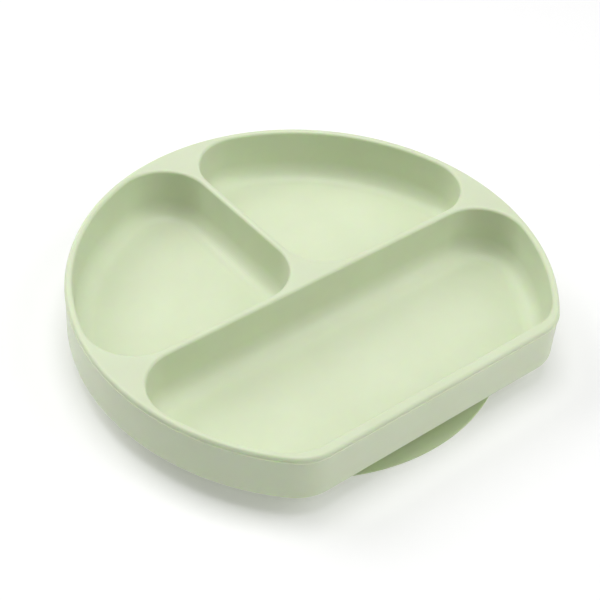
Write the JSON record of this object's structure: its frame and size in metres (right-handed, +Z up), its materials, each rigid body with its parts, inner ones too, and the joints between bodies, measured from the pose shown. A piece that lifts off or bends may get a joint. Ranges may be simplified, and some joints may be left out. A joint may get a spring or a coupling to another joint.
{
  "type": "divided suction plate",
  "caption": "Divided silicone plate for a baby, with deep rounded compartments, a flat side and a shallow suction cup with a release tab under it.",
  "frame": {"origin": "centre of the part's footprint, on the table surface under the sealing lip", "axes": "+X to the right along the flat side, +Y from the flat side towards the release tab, +Z up out of the compartments"},
  "size_m": [0.215, 0.2002, 0.0342],
  "materials": {
    "tray_silicone": "satin, food-grade silicone, pale sage green",
    "cup_silicone": "satin, softer silicone, pale sage green"
  },
  "bodies": {
    "dish": {"tray": "tray_silicone", "cup_neck": "cup_silicone"},
    "seal": {"sealing_lip": "cup_silicone", "cup_skirt": "cup_silicone"},
    "tab": {"release_tab": "cup_silicone"}
  },
  "joints": [
    {"name": "press_down", "type": "slide", "parent": "dish", "child": "seal", "axis": [0, 0, 1], "range_m": [0, 0.0025], "stiffness_N_per_m": 2000, "springref_m": -0.004, "deforming": ["cup_skirt"]},
    {"name": "tab_lift", "type": "hinge", "parent": "seal", "child": "tab", "pos_m": [0, 0.08525, 0.0008], "axis": [1, 0, 0], "range_deg": [0, 35], "stiffness_Nm_per_rad": 0.003}
  ]
}
